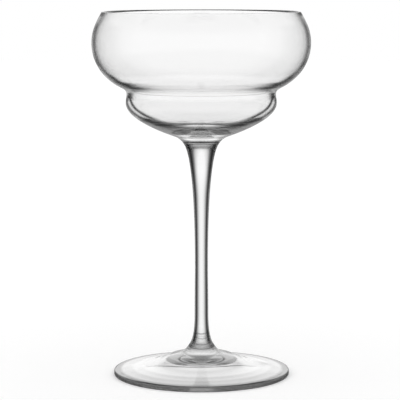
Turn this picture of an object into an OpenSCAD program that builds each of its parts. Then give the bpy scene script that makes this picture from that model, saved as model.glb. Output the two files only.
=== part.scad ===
// Stemmed cocktail glass in three hot-joined pieces: a blown bowl in two steps, a drawn solid stem and a
// pressed foot. It stands on the XY plane, with its axis along +Z.

/* [Bowl] */
// Height of the bowl above its joint with the stem
bowl_h = 58.3; // [54:0.1:64]
// Width of the mouth, across the middle of the rounded rim
mouth_w = 85.4; // [81:0.2:89]
// Outside width of the bowl at its widest
belly_w = 95.4; // [91:0.2:101]
// Drop from the rim to the widest place
belly_drop = 13.5; // [11:0.1:16]
// Outside width where the upper part has drawn in above the groove
shoulder_w = 70.8; // [69:0.2:74]
// Height of that shoulder above the joint
shoulder_rise = 25.6; // [24.8:0.1:28]
// Outside width of the groove round the bowl
groove_w = 65.2; // [62:0.2:65.4]
// Height of the groove above the joint
groove_rise = 22.3; // [21.2:0.1:23]
// Outside width of the lower part of the bowl
lobe_w = 65.9; // [65.5:0.1:69]
// Height of that widest place of the lower part above the joint
lobe_rise = 18.6; // [16:0.1:19.6]
// Outside width of the button where the bowl turns down to the stem
button_w = 23.6; // [20:0.2:27]
// Height of that turn above the joint
button_rise = 4; // [3.4:0.1:5]
// Thickness of the glass at the rim
rim_wall = 1.4; // [1:0.05:1.8]
// Thickness of the glass at the widest place
belly_wall = 1.8; // [1.2:0.05:2.4]
// Thickness of the glass at the groove
groove_wall = 2.2; // [1.6:0.05:2.8]
// Thickness of the glass round the lower part
lobe_wall = 2.7; // [2:0.05:3.4]
// Thickness of the glass from the middle of the floor to the joint
floor_wall = 10.8; // [9:0.1:12]
// Width of the low ring of the floor, round its slightly raised middle
floor_ring_w = 20; // [16:0.5:26]
// Height of the raised middle above that ring
floor_dome_h = 1.4; // [0.6:0.1:2]

/* [Stem] */
// Length of the stem between its two joints
stem_h = 90.2; // [75:0.2:105]
// Width of the joint under the bowl
top_joint_w = 14.6; // [13:0.1:16.5]
// Width of the stem where it is thinnest
stem_w = 5.7; // [4.8:0.1:7]
// Height of the thinnest place above the foot joint
stem_thin_rise = 37; // [30:0.5:42]
// Width of the stem just above its flare
neck_w = 6; // [5.2:0.1:7]
// Height of that place above the foot joint
neck_rise = 16.3; // [12:0.1:20]

/* [Foot] */
// Width of the foot
foot_w = 77.4; // [70:0.2:84]
// Height of the foot up to its joint with the stem
foot_h = 11.5; // [10.6:0.1:13]
// Width of the joint on top of the foot
foot_joint_w = 13.6; // [12:0.1:15.5]
// Width of the place where the raised middle runs out into the disc
bell_w = 28; // [24:0.5:34]
// Height of that place
bell_h = 8.6; // [7.8:0.1:9.6]
// Thickness of the rim of the foot
foot_edge = 2.4; // [2:0.1:3]
// Radius of the upper corner of that rim
foot_top_round = 0.6; // [0.3:0.05:0.8]
// Radius of the lower corner of that rim
foot_low_round = 0.8; // [0.4:0.05:1]
// Width of the flat ring that the foot stands on
rest_ring = 1.6; // [1:0.1:2.5]
// Width of the place in the hollow below which it runs along under the disc
hollow_turn_w = 32; // [28:0.5:36]
// Height of that place
hollow_turn_h = 4.6; // [4.2:0.1:5]
// Height of the hollow under the middle of the foot
hollow_h = 5.4; // [5:0.1:6.2]

/* [Hidden] */

$fn = 96;
// Straight pieces in each bend of an outline, and in each rounded corner
bend_steps = 9;
corner_steps = 6;

// Lean of the outline at each station, in degrees outward from straight down
rim_lean = 29;
shoulder_lean = -63;
button_lean = -71;
top_joint_lean = -28;
foot_joint_lean = 42;
bell_lean = 70;
edge_lean = 86;
level_lean = -90;
hollow_lean = -94;
hollow_turn_lean = -109;

// Reach of each bend's two handles, as shares of the straight distance between its stations
upper_shares = [0.29, 0.41];
belly_shares = [0.38, 0.36];
groove_shares = [0.5, 0.42];
waist_shares = [0.4, 0.4];
lobe_shares = [0.24, 0.35];
button_shares = [0.4, 0.25];
stem_shares = [0.125, 0.5];
neck_shares = [0.27, 0.46];
flare_shares = [0.6, 0.24];
bell_shares = [0.33, 0.33];
disc_shares = [0.3, 0.6];
inside_lobe_shares = [0.3, 0.45];
floor_shares = [0.3, 0.6];
under_disc_shares = [0.55, 0.25];
hollow_shares = [0.3, 0.5];

// Heights of the two joints and of the rim above the surface that the glass stands on
foot_joint_z = foot_h;
top_joint_z = foot_h + stem_h;
rim_z = top_joint_z + bowl_h;
rim_round = rim_wall / 2;

// Stations of the outside, each [radius, height, lean]
rim = [mouth_w / 2 + rim_round * cos(rim_lean), rim_z - rim_round * (1 - sin(rim_lean)), rim_lean];
belly = [belly_w / 2, rim_z - belly_drop, 0];
shoulder = [shoulder_w / 2, top_joint_z + shoulder_rise, shoulder_lean];
groove = [groove_w / 2, top_joint_z + groove_rise, 0];
lobe = [lobe_w / 2, top_joint_z + lobe_rise, 0];
button = [button_w / 2, top_joint_z + button_rise, button_lean];
top_joint = [top_joint_w / 2, top_joint_z, top_joint_lean];
thin = [stem_w / 2, foot_joint_z + stem_thin_rise, 0];
neck = [neck_w / 2, foot_joint_z + neck_rise, 0];
foot_joint = [foot_joint_w / 2, foot_joint_z, foot_joint_lean];
bell = [bell_w / 2, bell_h, bell_lean];
disc_edge = [
    foot_w / 2 - foot_top_round * (1 - cos(edge_lean)),
    foot_edge - foot_top_round * (1 - sin(edge_lean)),
    edge_lean
];

// Stations of the floor inside the bowl
floor_ring = [floor_ring_w / 2, top_joint_z + floor_wall - floor_dome_h, level_lean];
floor_middle = [0, top_joint_z + floor_wall, level_lean];

// Stations of the hollow under the foot
rest_r = foot_w / 2 - foot_low_round;
hollow_edge = [rest_r - rest_ring, 0, hollow_lean];
hollow_turn = [hollow_turn_w / 2, hollow_turn_h, hollow_turn_lean];
hollow_middle = [0, hollow_h, level_lean];

// Unit vector that heads down an outline, leaning outward by the angle given
function heading(lean) = [sin(lean), -cos(lean)];

// Place of a station, without its lean
function spot(station) = [station[0], station[1]];

// Same station moved in through the glass by the wall given, square to the outline
function inside(station, wall) = [
    station[0] - wall * cos(station[2]),
    station[1] - wall * sin(station[2]),
    station[2]
];

// Cubic bend from one station to the next, without its first point
function bend(start, end, shares) =
    let (
        reach = norm(spot(end) - spot(start)),
        leave = spot(start) + shares[0] * reach * heading(start[2]),
        meet = spot(end) - shares[1] * reach * heading(end[2])
    )
    [
        for (step = [1 : bend_steps])
        let (gone = step / bend_steps, left = 1 - gone)
        left ^ 3 * spot(start) + 3 * left ^ 2 * gone * leave
            + 3 * left * gone ^ 2 * meet + gone ^ 3 * spot(end)
    ];

// Outline through a row of stations, from the first to the last, with one pair of shares for each bend
function path(stations, shares) = concat(
    [spot(stations[0])],
    [
        for (i = [1 : len(stations) - 1])
        each bend(stations[i - 1], stations[i], shares[i - 1])
    ]
);

// Points of an arc that lie between its two ends
function arc(centre, radius, first, last) = [
    for (step = [1 : corner_steps - 1])
    let (angle = first + (last - first) * step / corner_steps)
    centre + radius * [cos(angle), sin(angle)]
];

function reversed(points) = [for (i = [len(points) - 1 : -1 : 0]) points[i]];

// Blown bowl with its fire-polished rim, in one piece with the button under its floor
module bowl() {
    outside = path(
        [rim, belly, shoulder, groove, lobe, button, top_joint],
        [upper_shares, belly_shares, groove_shares, waist_shares, lobe_shares, button_shares]
    );
    inner = path(
        [
            inside(rim, rim_wall),
            inside(belly, belly_wall),
            inside(shoulder, groove_wall),
            inside(groove, groove_wall),
            inside(lobe, lobe_wall),
            floor_ring,
            floor_middle
        ],
        [upper_shares, belly_shares, groove_shares, waist_shares, inside_lobe_shares, floor_shares]
    );
    rim_centre = [mouth_w / 2, rim_z - rim_round];
    rim_arc = arc(rim_centre, rim_round, 180 + rim_lean, rim_lean);
    color([0.93, 0.95, 0.95, 0.45])
    rotate_extrude()
    polygon(concat(rim_arc, outside, [[0, top_joint_z]], reversed(inner)));
}

// Drawn stem, solid all through
module stem() {
    side = path([top_joint, thin, neck, foot_joint], [stem_shares, neck_shares, flare_shares]);
    color([0.9, 0.93, 0.93, 0.6])
    rotate_extrude()
    polygon(concat([[0, top_joint_z]], side, [[0, foot_joint_z]]));
}

// Pressed foot, raised round its joint and hollow underneath, so that it stands on a narrow ring
module foot() {
    top_centre = [foot_w / 2 - foot_top_round, foot_edge - foot_top_round];
    low_centre = [rest_r, foot_low_round];
    color([0.9, 0.93, 0.93, 0.5])
    rotate_extrude()
    polygon(concat(
        [[0, foot_joint_z]],
        path([foot_joint, bell, disc_edge], [bell_shares, disc_shares]),
        arc(top_centre, foot_top_round, edge_lean, 0),
        [[foot_w / 2, top_centre[1]], [foot_w / 2, low_centre[1]]],
        arc(low_centre, foot_low_round, 0, -90),
        [[rest_r, 0]],
        path([hollow_edge, hollow_turn, hollow_middle], [under_disc_shares, hollow_shares])
    ));
}

bowl();
stem();
foot();
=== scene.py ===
# Clear cocktail glass on a white sweep: a bowl in two steps, a drawn stem and a pressed foot, all turned.
from math import cos, pi, radians, sin

import bpy
import numpy as np
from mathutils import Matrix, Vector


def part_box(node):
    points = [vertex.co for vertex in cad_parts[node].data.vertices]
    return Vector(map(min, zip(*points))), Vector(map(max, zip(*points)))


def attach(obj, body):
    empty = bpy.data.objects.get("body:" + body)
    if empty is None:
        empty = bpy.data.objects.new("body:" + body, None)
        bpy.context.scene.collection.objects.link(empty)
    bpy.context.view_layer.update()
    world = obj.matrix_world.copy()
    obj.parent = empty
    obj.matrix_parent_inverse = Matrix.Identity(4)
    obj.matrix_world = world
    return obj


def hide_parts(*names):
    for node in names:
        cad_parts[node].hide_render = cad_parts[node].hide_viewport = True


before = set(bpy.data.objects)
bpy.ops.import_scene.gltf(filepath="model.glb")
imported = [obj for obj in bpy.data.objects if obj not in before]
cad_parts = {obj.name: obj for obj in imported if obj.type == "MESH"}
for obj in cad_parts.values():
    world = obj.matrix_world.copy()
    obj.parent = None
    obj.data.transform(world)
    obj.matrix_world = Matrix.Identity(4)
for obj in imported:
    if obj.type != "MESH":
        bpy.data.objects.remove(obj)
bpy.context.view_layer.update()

mm = 0.001
scene = bpy.context.scene

# What all the glass shares. An inner face is marked by a bandSquareness so low that no outer one has it.
glass = {
    "ior": 1.5,
    "wavesPerMetre": (60, 60, 200),  # a faint ripple, longer round the glass than up it
    "waveHeight": 0.0001,  # in metres
    "shadowKeeps": 0.97,  # what a shadow ray keeps at each face
    "paintedShadeGrey": 0.01,  # grey of the painted shade at its darkest
    "leastBand": 0.05,  # least bandSquareness of an outer face
    "innerBand": 0.001,  # bandSquareness of an inner face, which gets no painted shade
    "outerFrom": 0.01,  # bandSquareness from which a face counts as outer
}


# Unit vector that heads down an outline, leaning outward by the angle given: (sin lean, -cos lean)
def heading(lean):
    return np.array([sin(radians(lean)), -cos(radians(lean))])


# The same station moved in through the glass, square to the outline: place - wall (cos lean, sin lean)
def inside(station, wall):
    radius, height, lean = station
    return radius - wall * cos(radians(lean)), height - wall * sin(radians(lean)), lean


# Cubic bend between two stations: u^3 a + 3 u^2 t b + 3 u t^2 c + t^3 d with u = 1 - t, first point left out
def bend(start, end, shares, steps):
    first = np.array(start[:2])
    last = np.array(end[:2])
    reach = np.hypot(*(last - first))
    leave = first + shares[0] * reach * heading(start[2])
    meet = last - shares[1] * reach * heading(end[2])
    t = np.linspace(0, 1, steps + 1)[1:, None]
    u = 1 - t
    return u**3 * first + 3 * u**2 * t * leave + 3 * u * t**2 * meet + t**3 * last


# Outline through a row of stations, from the first to the last, with the shares and steps of each bend
def path(stations, shares, steps):
    bends = [bend(*each) for each in zip(stations, stations[1:], shares, steps)]
    return np.vstack([stations[0][:2], *bends])


# Arc about a centre, centre + radius (cos a, sin a), between two angles, without its ends
def arc(centre, radius, first, last, steps):
    angle = np.radians(np.linspace(first, last, steps + 1)[1:-1])
    return np.array(centre) + radius * np.stack([np.cos(angle), np.sin(angle)], 1)


# Points of a surface of revolution: (r cos a, r sin a, z) of each outline point off the axis, then two poles
def turnedPoints(outline, around):
    ring = outline[1:-1]
    angle = np.linspace(0, 2 * pi, around, endpoint=False)
    x = ring[:, :1] * np.cos(angle)
    y = ring[:, :1] * np.sin(angle)
    z = np.broadcast_to(ring[:, 1:], x.shape)
    poles = [[0, 0, outline[0, 1]], [0, 0, outline[-1, 1]]]
    return np.vstack([np.stack([x, y, z], 2).reshape(-1, 3), poles]) * mm


# Its faces: a quad between each two neighbours on two neighbouring rings, and a fan of triangles at each pole
def turnedFaces(rings, around):
    here = np.arange(around)
    after = (here + 1) % around
    row = np.arange(rings - 1)[:, None] * around
    quads = np.stack([row + here, row + after, row + around + after, row + around + here], 2)
    top = (rings - 1) * around
    lowPole = rings * around
    lowFan = np.stack([np.full(around, lowPole), after, here], 1)
    highFan = np.stack([np.full(around, lowPole + 1), top + here, top + after], 1)
    return quads.reshape(-1, 4), lowFan, highFan


# Marks the edges along some rings as sharp, where each ring is given by its first point
def sharpenRings(mesh, starts, around):
    ends = np.zeros(len(mesh.edges) * 2, int)
    mesh.edges.foreach_get("vertices", ends)
    ends = ends.reshape(-1, 2)
    sharp = np.zeros(len(mesh.edges), bool)
    for start in starts:
        sharp |= ((ends >= start) & (ends < start + around)).all(1)
    mesh.attributes.new("sharp_edge", "BOOLEAN", "EDGE").data.foreach_set("value", sharp)


# Turned piece. Its outline starts and ends on the axis and runs out along the underside first, so that faces
# point out of the glass. An end that is joined, low or high, is a flat fan with a sharp rim and the material
# of the join.
def turned(name, outline, around, joined, squareness):
    rings = len(outline) - 2
    quads, lowFan, highFan = turnedFaces(rings, around)
    mesh = bpy.data.meshes.new(name)
    points = turnedPoints(outline, around)
    mesh.from_pydata(points.tolist(), [], quads.tolist() + lowFan.tolist() + highFan.tolist())
    mesh.polygons.foreach_set("use_smooth", np.ones(len(mesh.polygons), bool))
    slots = [0] * len(quads) + ["low" in joined] * around + ["high" in joined] * around
    mesh.polygons.foreach_set("material_index", np.array(slots, int))
    firstPoint = {"low": 0, "high": (rings - 1) * around}
    sharpenRings(mesh, [firstPoint[end] for end in joined], around)
    band = np.append(np.repeat(np.broadcast_to(squareness, rings), around), [1, 1])
    mesh.attributes.new("bandSquareness", "FLOAT", "POINT").data.foreach_set("value", band)
    mesh.update()
    piece = bpy.data.objects.new(name, mesh)
    scene.collection.objects.link(piece)
    print(name, len(mesh.polygons), "faces")
    return piece


# How squarely the wall has to be seen for light to pass it, at each outer point:
# sqrt(2 wall across / radius), where across is the level part of the point's normal, and wall is the way to
# the nearest point of the inside.
def bandSquareness(outside, inner):
    wall = np.sqrt(((outside[:, None] - inner[None]) ** 2).sum(2).min(1))
    along = np.gradient(outside, axis=0)
    across = np.abs(along[:, 1]) / np.hypot(*along.T)
    return np.clip(np.sqrt(2 * wall * across / outside[:, 0]), glass["leastBand"], 1)


# Colour of a grey: the same level three times, and opaque
def grey(level):
    return level, level, level, 1


# A Math operation as an operator on sockets, and its reflected form
def operation(kind):
    def forward(first, second):
        return first.shader.node("ShaderNodeMath", {"operation": kind}, {0: first, 1: second})

    def reflected(second, first):
        return second.shader.node("ShaderNodeMath", {"operation": kind}, {0: first, 1: second})

    return forward, reflected


# A node socket that takes part in sums: each operator adds one Math node
class Sock:
    __add__, __radd__ = operation("ADD")
    __sub__, __rsub__ = operation("SUBTRACT")
    __mul__, __rmul__ = operation("MULTIPLY")
    __truediv__, __rtruediv__ = operation("DIVIDE")
    __pow__, __rpow__ = operation("POWER")

    def __init__(self, shader, out):
        self.shader = shader
        self.out = out


# A node tree that is filled by one method: node type, settings, then the values or links of its sockets
class Shader:
    def __init__(self, owner):
        owner.use_nodes = True
        self.tree = owner.node_tree
        self.tree.nodes.clear()

    def node(self, kind, settings=None, inputs=None, out=0):
        made = self.tree.nodes.new(kind)
        for key, value in (settings or {}).items():
            if key == "stops":
                self.setStops(made.color_ramp.elements, value)
            else:
                setattr(made, key, value)
        for key, value in (inputs or {}).items():
            if isinstance(value, Sock):
                self.tree.links.new(value.out, made.inputs[key])
            else:
                made.inputs[key].default_value = value
        return Sock(self, made.outputs[out]) if made.outputs else made

    # The first stop stands at 0 already, and each other one is new
    def setStops(self, stops, pairs):
        stops.remove(stops[1])
        for place, shade in pairs:
            stop = stops[0] if place == 0 else stops.new(place)
            stop.color = grey(shade)


# What a ray is asked: 1 or 0 for its kind, or how often it was mirrored
def lightPath(shader, question):
    return shader.node("ShaderNodeLightPath", out=question)


# Two finishes mixed: (1 - share) first + share second
def mixed(shader, share, first, second):
    return shader.node("ShaderNodeMixShader", inputs={0: share, 1: first, 2: second})


# What a zone leaves clear of painted shade: its ramp at (reach + lean (height - from)) / span
def zoneUnpainted(shader, zone, reach, height):
    along = reach
    if "lean" in zone:
        along = reach + zone["lean"] * (height - zone["from"])
    return shader.node("ShaderNodeValToRGB", {"stops": zone["unpainted"]}, {"Fac": along / zone["span"]})


# What is left clear of painted shade at each height. Each zone takes over smoothly from those before it,
# between its two heights.
def allUnpainted(shader, zones, reach, height):
    unpainted = zoneUnpainted(shader, zones[0], reach, height)
    for zone in zones[1:]:
        low, high = zone["below"]
        share = shader.node(
            "ShaderNodeMapRange",
            {"interpolation_type": "SMOOTHSTEP"},
            {"Value": height, "From Min": high, "From Max": low, "To Min": 0.0, "To Max": 1.0},
        )
        ends = {"Factor": share, 6: unpainted, 7: zoneUnpainted(shader, zone, reach, height)}  # colours A and B
        unpainted = shader.node("ShaderNodeMix", {"data_type": "RGBA"}, ends, out=2)  # colour result
    return unpainted


# Normal of the faint ripple: noise at place * wavesPerMetre, raised by waveHeight
def rippledNormal(shader, place):
    waves = shader.node(
        "ShaderNodeVectorMath",
        {"operation": "MULTIPLY"},
        {0: place, 1: glass["wavesPerMetre"]},
    )
    ripple = shader.node("ShaderNodeTexNoise", inputs={"Vector": waves, "Scale": 1.0, "Detail": 1.0})
    return shader.node("ShaderNodeBump", inputs={"Height": ripple, "Distance": glass["waveHeight"]})


# Clear glass with painted shade: where its outer skin is seen edge on, dark bands are painted over it by
# Layer Weight's Facing and the height. They stand where the wall would bend the dark sides of the room into
# view. reach = how squarely the skin is seen / the least squareness at which light gets through the wall.
# Each zone's ramp holds pairs of reach / span and the share of the glass left clear of the painted shade
# there, and its heights are in mm above the base.
def clearGlass(name, zones, base):
    material = bpy.data.materials.new(name)
    shader = Shader(material)
    facing = shader.node("ShaderNodeLayerWeight", inputs={"Blend": 0.5}, out="Facing")
    band = shader.node("ShaderNodeAttribute", {"attribute_name": "bandSquareness"}, out="Fac")
    inward = shader.node("ShaderNodeNewGeometry", out="Backfacing")
    outer = shader.node("ShaderNodeMath", {"operation": "GREATER_THAN"}, {0: band, 1: glass["outerFrom"]})
    place = shader.node("ShaderNodeTexCoord", out="Object")
    height = shader.node("ShaderNodeSeparateXYZ", inputs={0: place}, out="Z") / mm - base
    unpainted = allUnpainted(shader, zones, (1 - facing) / band, height)
    # Painted shade: the dark share, laid only on the outer skin and not where the skin is seen from inside
    paintedShade = (1 - unpainted) * (1 - inward) * outer
    body = shader.node(
        "ShaderNodeBsdfPrincipled",
        inputs={
            "Base Color": grey(1),
            "Roughness": 0.0,
            "IOR": glass["ior"],
            "Transmission Weight": 1.0,
            "Normal": rippledNormal(shader, place),
        },
    )
    # Painted shade: a near-black finish mixed over the clear glass
    dark = shader.node("ShaderNodeBsdfDiffuse", inputs={"Color": grey(glass["paintedShadeGrey"])})
    through = shader.node("ShaderNodeBsdfTransparent", inputs={"Color": grey(glass["shadowKeeps"])})
    skin = mixed(shader, paintedShade, body, dark)
    surface = mixed(shader, lightPath(shader, "Is Shadow Ray"), skin, through)
    shader.node("ShaderNodeOutputMaterial", inputs={"Surface": surface})
    return material


# The two faces of a hot join lie inside the glass, so light goes straight on through them
def fusedJoin():
    join = bpy.data.materials.new("fusedJoin")
    shader = Shader(join)
    clear = shader.node("ShaderNodeBsdfTransparent", inputs={"Color": grey(1)})
    shader.node("ShaderNodeOutputMaterial", inputs={"Surface": clear})
    return join


joinClear = fusedJoin()


# Gives a finished piece its materials, and tells the frame what it is
def dress(piece, material, node):
    piece.data.materials.append(material)
    piece.data.materials.append(joinClear)
    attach(piece, "root")
    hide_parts(node)


# Heights and widths that the pieces share, in mm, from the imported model
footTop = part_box("foot")[1][2] / mm
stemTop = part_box("stem")[1][2] / mm
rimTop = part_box("bowl")[1][2] / mm
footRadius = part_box("foot")[1][0] / mm

# Stations are (radius, height, lean). The lengths of the pieces are in mm, and leans in degrees outward from
# straight down.
topJoint = (7.3, stemTop, -28)
footJoint = (6.8, footTop, 42)

# Shares are the reach of each bend's two handles. The first bends run from the rim to the lobe, outside and
# inside, and the last ones to the button and the joint outside, and over the floor inside.
bowl = {
    "mouthRadius": 42.7,
    "rimWall": 1.4,
    "rimLean": 29,
    "rimSteps": 14,
    "belly": (47.7, rimTop - 13.5, 0),
    "bellyWall": 1.8,
    "shoulder": (35.4, stemTop + 25.6, -63),
    "groove": (32.6, stemTop + 22.3, 0),
    "grooveWall": 2.2,
    "lobe": (32.95, stemTop + 18.6, 0),
    "lobeWall": 2.7,
    "button": (11.8, stemTop + 4, -71),
    "floorRing": (10, stemTop + 9.4, -90),
    "floorMiddle": (0, stemTop + 10.8, -90),
    "shares": [(0.29, 0.41), (0.38, 0.36), (0.5, 0.42), (0.4, 0.4)],
    "buttonShares": [(0.24, 0.35), (0.4, 0.25)],
    "floorShares": [(0.3, 0.45), (0.3, 0.6)],
    "steps": [24, 32, 16, 12],
    "buttonSteps": [32, 14],
    "floorSteps": [32, 16],
    "around": 320,
    # Painted shade: the dark bands painted over the bowl's outer skin, zone by zone up from the joint
    "zones": [
        {
            "span": 3,
            "unpainted": [
                (0, 0.35), (0.12, 0.25), (0.25, 0.12), (0.32, 0.2), (0.39, 0.4), (0.45, 0.6), (0.52, 0.74),
                (0.6, 0.83), (0.72, 0.91), (1, 0.96),
            ],
        },
        {
            "below": (56.1, 57.1),
            "span": 3,
            "unpainted": [
                (0, 0.6), (0.2, 0.54), (0.25, 0.34), (0.32, 0.3), (0.39, 0.45), (0.45, 0.63), (0.52, 0.74),
                (0.6, 0.83), (0.72, 0.91), (1, 0.96),
            ],
        },
        {
            "below": (51.8, 54.3),
            "span": 3,
            "unpainted": [
                (0, 0.5), (0.16, 0.38), (0.23, 0.21), (0.27, 0.15), (0.3, 0.21), (0.35, 0.41), (0.4, 0.58),
                (0.5, 0.72), (0.6, 0.79), (0.75, 0.86), (0.85, 0.92), (1, 0.96),
            ],
        },
        {
            "below": (30.5, 32.9),
            "span": 3,
            "unpainted": [
                (0, 0.7), (0.15, 0.55), (0.2, 0.42), (0.24, 0.3), (0.27, 0.18), (0.3, 0.08), (0.335, 0.1),
                (0.36, 0.24), (0.39, 0.5), (0.43, 0.74), (0.48, 0.83), (0.8, 0.88), (1, 0.95),
            ],
        },
        {
            "below": (28.3, 29.3),
            "span": 3,
            "unpainted": [
                (0, 0.6), (0.18, 0.5), (0.22, 0.3), (0.26, 0.2), (0.3, 0.06), (0.36, 0.05), (0.4, 0.1),
                (0.44, 0.24), (0.5, 0.5), (0.6, 0.74), (0.72, 0.86), (1, 0.95),
            ],
        },
        {
            "below": (26.9, 27.9),
            "span": 3,
            "unpainted": [
                (0, 0.55), (0.15, 0.48), (0.19, 0.32), (0.28, 0.1), (0.34, 0.05), (0.38, 0.11), (0.43, 0.32),
                (0.55, 0.76), (0.65, 0.86), (1, 0.95),
            ],
        },
        {
            "below": (25.3, 26.3),
            "span": 3,
            "unpainted": [
                (0, 0.5), (0.2, 0.52), (0.26, 0.36), (0.3, 0.4), (0.34, 0.53), (0.38, 0.7), (0.43, 0.82),
                (0.5, 0.89), (0.6, 0.95), (1, 0.98),
            ],
        },
        {
            "below": (23.1, 24.1),
            "span": 2,
            "unpainted": [
                (0, 0.55), (0.22, 0.5), (0.28, 0.22), (0.32, 0.09), (0.43, 0.09), (0.48, 0.18), (0.53, 0.4),
                (0.57, 0.58), (0.62, 0.72), (0.7, 0.82), (0.9, 0.88), (1, 0.94),
            ],
        },
        {
            "below": (20.7, 21.6),
            "lean": 0.07,
            "from": 22.3,
            "span": 1.5,
            "unpainted": [
                (0, 0.45), (0.08, 0.3), (0.13, 0.15), (0.18, 0.12), (0.24, 0.3), (0.3, 0.57), (0.37, 0.75),
                (0.43, 0.5), (0.475, 0.18), (0.51, 0.03), (0.55, 0.15), (0.59, 0.44), (0.62, 0.7),
                (0.68, 0.84), (1, 0.91),
            ],
        },
        {
            "below": (15.3, 18.3),
            "lean": 0.09,
            "from": 17.3,
            "span": 2.2,
            "unpainted": [
                (0, 0.5), (0.15, 0.35), (0.2, 0.16), (0.245, 0.11), (0.3, 0.3), (0.35, 0.58), (0.4, 0.72),
                (0.44, 0.48), (0.47, 0.2), (0.5, 0.03), (0.53, 0.15), (0.56, 0.42), (0.6, 0.74), (0.65, 0.84),
                (0.8, 0.86), (1, 0.81),
            ],
        },
        {
            "below": (12.7, 14.3),
            "span": 2,
            "unpainted": [
                (0, 0.55), (0.3, 0.42), (0.39, 0.16), (0.45, 0.1), (0.55, 0.04), (0.6, 0.08), (0.65, 0.16),
                (0.7, 0.16), (0.75, 0.26), (0.8, 0.48), (0.86, 0.8), (1, 0.78),
            ],
        },
        {
            "below": (11.1, 12.3),
            "span": 2,
            "unpainted": [
                (0, 0.6), (0.25, 0.52), (0.4, 0.5), (0.48, 0.25), (0.58, 0.17), (0.67, 0.2), (0.73, 0.42),
                (0.79, 0.75), (0.85, 0.95), (1, 0.92),
            ],
        },
        {
            "below": (8.1, 9.7),
            "span": 2,
            "unpainted": [
                (0, 0.5), (0.2, 0.43), (0.35, 0.44), (0.43, 0.34), (0.52, 0.34), (0.58, 0.68), (0.63, 0.82),
                (0.7, 0.98), (1, 1),
            ],
        },
        {
            "below": (6.3, 7.5),
            "span": 2,
            "unpainted": [(0, 0.42), (0.26, 0.42), (0.33, 0.3), (0.5, 0.28), (0.6, 0.45), (1, 0.9)],
        },
        {
            "below": (5.1, 6.1),
            "span": 1,
            "unpainted": [(0, 0.4), (0.3, 0.45), (0.45, 0.97), (0.6, 0.92), (1, 0.9)],
        },
        {
            "below": (1.9, 3.3),
            "span": 1,
            "unpainted": [(0, 0.4), (0.38, 0.32), (0.46, 0.47), (0.54, 1), (1, 1)],
        },
        {
            "below": (0.5, 1.5),
            "span": 1,
            "unpainted": [
                (0, 0.4), (0.35, 0.25), (0.45, 0.02), (0.55, 0.03), (0.65, 0.33), (0.75, 0.6), (1, 0.9),
            ],
        },
    ],
}


# Blown bowl: the outside from the rim to the joint, the round of the rim, and the inside at the named walls
def makeBowl():
    s = bowl
    half = s["rimWall"] / 2
    lean = radians(s["rimLean"])
    rimCentre = (s["mouthRadius"], rimTop - half)
    rim = (rimCentre[0] + half * cos(lean), rimCentre[1] + half * sin(lean), s["rimLean"])
    shell = [rim, s["belly"], s["shoulder"], s["groove"], s["lobe"]]
    walls = [s["rimWall"], s["bellyWall"], s["grooveWall"], s["grooveWall"], s["lobeWall"]]
    lining = [inside(station, wall) for station, wall in zip(shell, walls)]
    outside = path(
        [*shell, s["button"], topJoint],
        s["shares"] + s["buttonShares"],
        s["steps"] + s["buttonSteps"],
    )
    inner = path(
        [*lining, s["floorRing"], s["floorMiddle"]],
        s["shares"] + s["floorShares"],
        s["steps"] + s["floorSteps"],
    )
    rimArc = arc(rimCentre, half, s["rimLean"], 180 + s["rimLean"], s["rimSteps"])
    outline = np.vstack([(0, stemTop), outside[::-1], rimArc, inner])
    innerBands = np.full(len(rimArc) + len(inner) - 1, glass["innerBand"])
    squareness = np.append(bandSquareness(outside, inner)[::-1], innerBands)
    piece = turned("bowlGlass", outline, s["around"], ["low"], squareness)
    dress(piece, clearGlass("bowlGlass", s["zones"], stemTop), "bowl")


makeBowl()

stem = {
    "thin": (2.85, footTop + 37, 0),
    "neck": (3.0, footTop + 16.3, 0),
    "shares": [(0.125, 0.5), (0.27, 0.46), (0.6, 0.24)],
    "steps": [90, 30, 40],
    "around": 160,
    # Painted shade: the dark edge bands painted over the stem, zone by zone up from the foot
    "zones": [
        {
            "span": 1,
            "unpainted": [
                (0, 0.3), (0.45, 0.05), (0.57, 0.04), (0.66, 0.18), (0.75, 0.32), (0.83, 0.57), (0.9, 0.7),
                (1, 0.8),
            ],
        },
        {
            "below": (88.5, 89.9),
            "span": 1,
            "unpainted": [
                (0, 0.25), (0.35, 0.15), (0.45, 0.07), (0.55, 0.01), (0.65, 0.03), (0.73, 0.13), (0.78, 0.29),
                (0.83, 0.56), (0.88, 0.77), (0.93, 0.96), (1, 1),
            ],
        },
        {
            "below": (66.5, 81.5),
            "span": 1,
            "unpainted": [
                (0, 0.35), (0.4, 0.27), (0.5, 0.18), (0.6, 0.05), (0.71, 0.03), (0.77, 0.1), (0.82, 0.27),
                (0.88, 0.46), (0.93, 0.74), (0.98, 0.91), (1, 0.95),
            ],
        },
        {
            "below": (5.5, 10.5),
            "span": 1,
            "unpainted": [
                (0, 0.4), (0.45, 0.3), (0.52, 0.09), (0.6, 0.03), (0.7, 0.03), (0.79, 0.12), (0.92, 0.54),
                (1, 0.82),
            ],
        },
        {
            "below": (2, 4),
            "span": 1,
            "unpainted": [(0, 0.35), (0.5, 0.17), (0.6, 0.15), (0.75, 0.22), (0.85, 0.36), (1, 0.55)],
        },
        {
            "below": (0.7, 1.7),
            "span": 1,
            "unpainted": [(0, 0.4), (0.62, 0.46), (0.7, 0.66), (0.8, 0.75), (0.9, 0.83), (1, 0.85)],
        },
    ],
}


# Drawn stem, solid all through, so that its bandSquareness is 1 all over
def makeStem():
    s = stem
    side = path([topJoint, s["thin"], s["neck"], footJoint], s["shares"], s["steps"])
    outline = np.vstack([(0, footTop), side[::-1], (0, stemTop)])
    piece = turned("stemGlass", outline, s["around"], ["low", "high"], 1)
    dress(piece, clearGlass("stemGlass", s["zones"], footTop), "stem")


makeStem()

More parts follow.
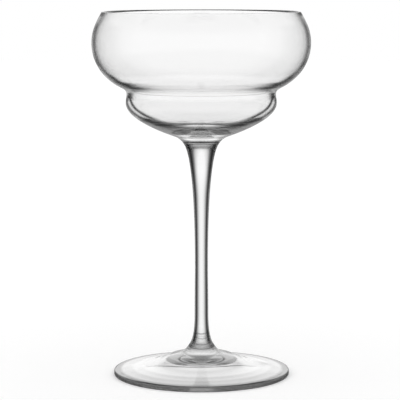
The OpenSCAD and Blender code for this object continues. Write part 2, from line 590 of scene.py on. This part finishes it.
foot = {
    "bell": (14, 8.6, 70),
    "edge": 2.4,
    "edgeLean": 86,
    "topRound": 0.6,
    "lowRound": 0.8,
    "roundSteps": 8,
    "restRing": 1.6,
    "hollowLean": -94,
    "hollowTurn": (16, 4.6, -109),
    "hollowMiddle": (0, 5.4, -90),
    "discShares": [(0.33, 0.33), (0.3, 0.6)],
    "discSteps": [20, 60],
    "hollowShares": [(0.55, 0.25), (0.3, 0.5)],
    "hollowSteps": [30, 30],
    "around": 360,
    # Painted shade: the dark rings and wings painted over the foot, zone by zone up from the floor
    "zones": [
        {
            "span": 1,
            "unpainted": [
                (0, 0.5), (0.25, 0.6), (0.36, 0.5), (0.43, 0.63), (0.5, 0.83), (0.6, 0.78), (0.75, 1), (1, 1),
            ],
        },
        {
            "below": (9.4, 10.4),
            "span": 1,
            "unpainted": [
                (0, 0.5), (0.18, 0.46), (0.23, 0.85), (0.27, 1), (0.39, 1), (0.43, 0.5), (0.48, 0.36),
                (0.53, 0.27), (0.62, 0.4), (0.8, 1), (1, 1),
            ],
        },
        {
            "below": (8.2, 9),
            "span": 1,
            "unpainted": [
                (0, 0.6), (0.12, 0.66), (0.18, 0.78), (0.23, 1), (0.4, 1), (0.45, 0.95), (0.49, 0.76),
                (0.53, 0.6), (0.6, 0.85), (1, 1),
            ],
        },
        {
            "below": (6.6, 7.4),
            "span": 1,
            "unpainted": [
                (0, 0.85), (0.15, 1), (0.29, 1), (0.33, 0.92), (0.38, 0.77), (0.44, 0.78), (0.5, 0.85),
                (0.6, 0.93), (1, 1),
            ],
        },
        {
            "below": (5, 6),
            "span": 1,
            "unpainted": [
                (0, 0.9), (0.1, 1), (0.3, 1), (0.38, 0.97), (0.48, 0.85), (0.55, 0.72), (0.8, 1), (1, 1),
            ],
        },
        {
            "below": (3.7, 4.3),
            "span": 1,
            "unpainted": [
                (0, 0.8), (0.1, 1), (0.2, 1), (0.25, 0.93), (0.33, 0.83), (0.4, 0.72), (0.48, 0.7), (0.75, 1),
                (1, 1),
            ],
        },
        {
            "below": (3, 3.4),
            "span": 1,
            "unpainted": [
                (0, 0.5), (0.08, 0.66), (0.13, 0.86), (0.18, 0.93), (0.24, 0.82), (0.3, 0.68), (0.45, 0.64),
                (0.75, 1), (1, 1),
            ],
        },
        {
            "below": (2.5, 2.7),
            "span": 1,
            "unpainted": [
                (0, 0.4), (0.1, 0.5), (0.15, 0.6), (0.22, 0.6), (0.28, 0.51), (0.34, 0.42), (0.45, 0.46),
                (0.6, 0.6), (0.8, 1), (1, 1),
            ],
        },
        {
            "below": (2.2, 2.4),
            "span": 1,
            "unpainted": [
                (0, 0.2), (0.2, 0.22), (0.28, 0.25), (0.35, 0.44), (0.46, 0.62), (0.7, 0.46), (1, 0.4),
            ],
        },
        {
            "below": (1.6, 2),
            "span": 1,
            "unpainted": [
                (0, 0.15), (0.3, 0.16), (0.45, 0.12), (0.6, 0.15), (0.75, 0.24), (0.9, 0.24), (1, 0.29),
            ],
        },
    ],
}


# Pressed foot: the hollow out to the ring that it stands on, round the edge and up the disc to the joint.
# It is thick, so that its bandSquareness is 1 all over.
def makeFoot():
    s = foot
    lean = radians(s["edgeLean"])
    topCentre = (footRadius - s["topRound"], s["edge"] - s["topRound"])
    lowCentre = (footRadius - s["lowRound"], s["lowRound"])
    discEdge = (
        topCentre[0] + s["topRound"] * cos(lean),
        topCentre[1] + s["topRound"] * sin(lean),
        s["edgeLean"],
    )
    disc = path([footJoint, s["bell"], discEdge], s["discShares"], s["discSteps"])
    hollowEdge = (lowCentre[0] - s["restRing"], 0, s["hollowLean"])
    hollow = path([hollowEdge, s["hollowTurn"], s["hollowMiddle"]], s["hollowShares"], s["hollowSteps"])
    outline = np.vstack([
        hollow[::-1],
        (lowCentre[0], 0),
        arc(lowCentre, s["lowRound"], -90, 0, s["roundSteps"]),
        (footRadius, lowCentre[1]),
        (footRadius, topCentre[1]),
        arc(topCentre, s["topRound"], 0, s["edgeLean"], s["roundSteps"]),
        disc[::-1],
        (0, footTop),
    ])
    piece = turned("footGlass", outline, s["around"], ["high"], 1)
    dress(piece, clearGlass("footGlass", s["zones"], 0), "foot")


makeFoot()

studio = {
    "floorRadius": 3.0,  # in metres
    "floorSides": 96,
    "floorGrey": 0.9,
    "floorGlow": 0.14,
    "whiteUpTo": 18,  # degrees above the horizon
    "darkFrom": 42,
    "ceiling": 0.5,  # brightness overhead
    "keptByMirror": 0.85,
    "bounces": 16,
}


# Share of the room's light that is left after the mirrorings in the glass: kept ^ max(mirrorings - 1, 0)
def keptLight(shader):
    later = shader.node(
        "ShaderNodeMath",
        {"operation": "MAXIMUM"},
        {0: lightPath(shader, "Glossy Depth") - 1, 1: 0.0},
    )
    return studio["keptByMirror"] ** later


# White where it is seen straight and for the light on the floor. What the glass shows of it is white near the
# horizon and darker overhead: 1 - (1 - ceiling) overhead, times the light kept.
def makeWorld():
    s = studio
    world = bpy.data.worlds.new("whiteSweep")
    scene.world = world
    shader = Shader(world)
    direction = shader.node("ShaderNodeTexCoord", out="Generated")
    up = shader.node("ShaderNodeSeparateXYZ", inputs={0: direction}, out="Z")
    overhead = shader.node(
        "ShaderNodeMapRange",
        {"interpolation_type": "SMOOTHSTEP"},
        {"Value": up, "From Min": sin(radians(s["whiteUpTo"])), "From Max": sin(radians(s["darkFrom"]))},
    )
    plain = shader.node(
        "ShaderNodeMath",
        {"operation": "MAXIMUM"},
        {0: lightPath(shader, "Is Camera Ray"), 1: lightPath(shader, "Is Diffuse Ray")},
    )
    seen = (1 - (1 - s["ceiling"]) * overhead) * keptLight(shader)
    strength = plain + (1 - plain) * seen
    back = shader.node("ShaderNodeBackground", inputs={"Color": grey(1), "Strength": strength})
    shader.node("ShaderNodeOutputWorld", inputs={"Surface": back})


# White floor that keeps the shadow. What the glass shows of it, bent or mirrored, is plain white.
def makeFloor():
    s = studio
    angle = np.linspace(0, 2 * pi, s["floorSides"], endpoint=False)
    ring = np.stack([np.cos(angle), np.sin(angle), 0 * angle], 1) * s["floorRadius"]
    mesh = bpy.data.meshes.new("floor")
    mesh.from_pydata(ring.tolist(), [], [list(range(s["floorSides"]))])
    floor = bpy.data.objects.new("floor", mesh)
    scene.collection.objects.link(floor)
    white = bpy.data.materials.new("whiteFloor")
    shader = Shader(white)
    diffuse = shader.node("ShaderNodeBsdfDiffuse", inputs={"Color": grey(s["floorGrey"])})
    glow = shader.node("ShaderNodeEmission", inputs={"Color": grey(1), "Strength": s["floorGlow"]})
    lit = shader.node("ShaderNodeAddShader", inputs={0: diffuse, 1: glow})
    plain = shader.node("ShaderNodeEmission", inputs={"Color": grey(1), "Strength": keptLight(shader)})
    surface = mixed(shader, lightPath(shader, "Is Glossy Ray"), lit, plain)
    shader.node("ShaderNodeOutputMaterial", inputs={"Surface": surface})
    mesh.materials.append(white)


makeWorld()
makeFloor()
print("studio ready")

# Where the camera stands, in metres, how far it looks down and is rolled, in degrees, and its lens, in mm
view = {
    "back": 0.8284,
    "height": 0.1773,
    "aside": -0.0005,
    "down": 6.866,
    "roll": 0.06,
    "lens": 171.0,
    "sensor": 36,
}


# The camera stands in front of the glass, towards -Y, and looks along +Y
def makeCamera():
    camera = bpy.data.objects.new("camera", bpy.data.cameras.new("camera"))
    camera.data.lens = view["lens"]
    camera.data.sensor_width = view["sensor"]
    camera.location = (view["aside"], -view["back"], view["height"])
    camera.rotation_euler = (radians(90 - view["down"]), radians(view["roll"]), 0)
    scene.collection.objects.link(camera)
    scene.camera = camera


makeCamera()
scene.view_settings.view_transform = "Standard"
scene.cycles.max_bounces = studio["bounces"]
scene.cycles.glossy_bounces = studio["bounces"]
scene.cycles.transmission_bounces = studio["bounces"]
print("camera ready")
